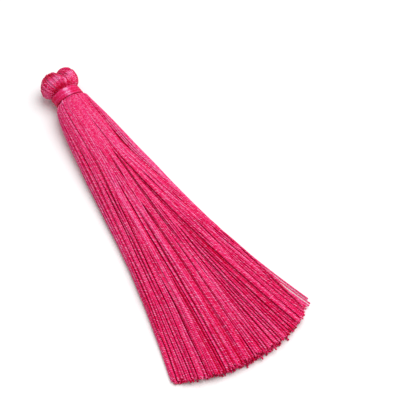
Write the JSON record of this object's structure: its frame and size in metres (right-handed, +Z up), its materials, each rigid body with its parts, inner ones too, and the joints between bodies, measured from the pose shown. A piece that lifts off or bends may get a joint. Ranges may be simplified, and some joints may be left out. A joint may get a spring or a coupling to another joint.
{
  "type": "silk tassel",
  "caption": "Fanned silk-thread tassel lying flat: a folded two-lobed thread head, a tightly wound neck band and a long skirt of loose strands cut in a gentle arc.",
  "frame": {"origin": "middle of the tassel's footprint, on the surface that it lies on", "axes": "+Y along the tassel from the cut ends to the head, +X across the fan, +Z up from the surface"},
  "size_m": [0.0458, 0.1234, 0.0103],
  "materials": {
    "rayon_thread": "twisted rayon thread with a silky sheen",
    "binding_thread": "fine rayon thread wound tightly, satin"
  },
  "bodies": {
    "root": {"thread_hank": "rayon_thread", "neck_binding": "binding_thread"}
  },
  "joints": []
}
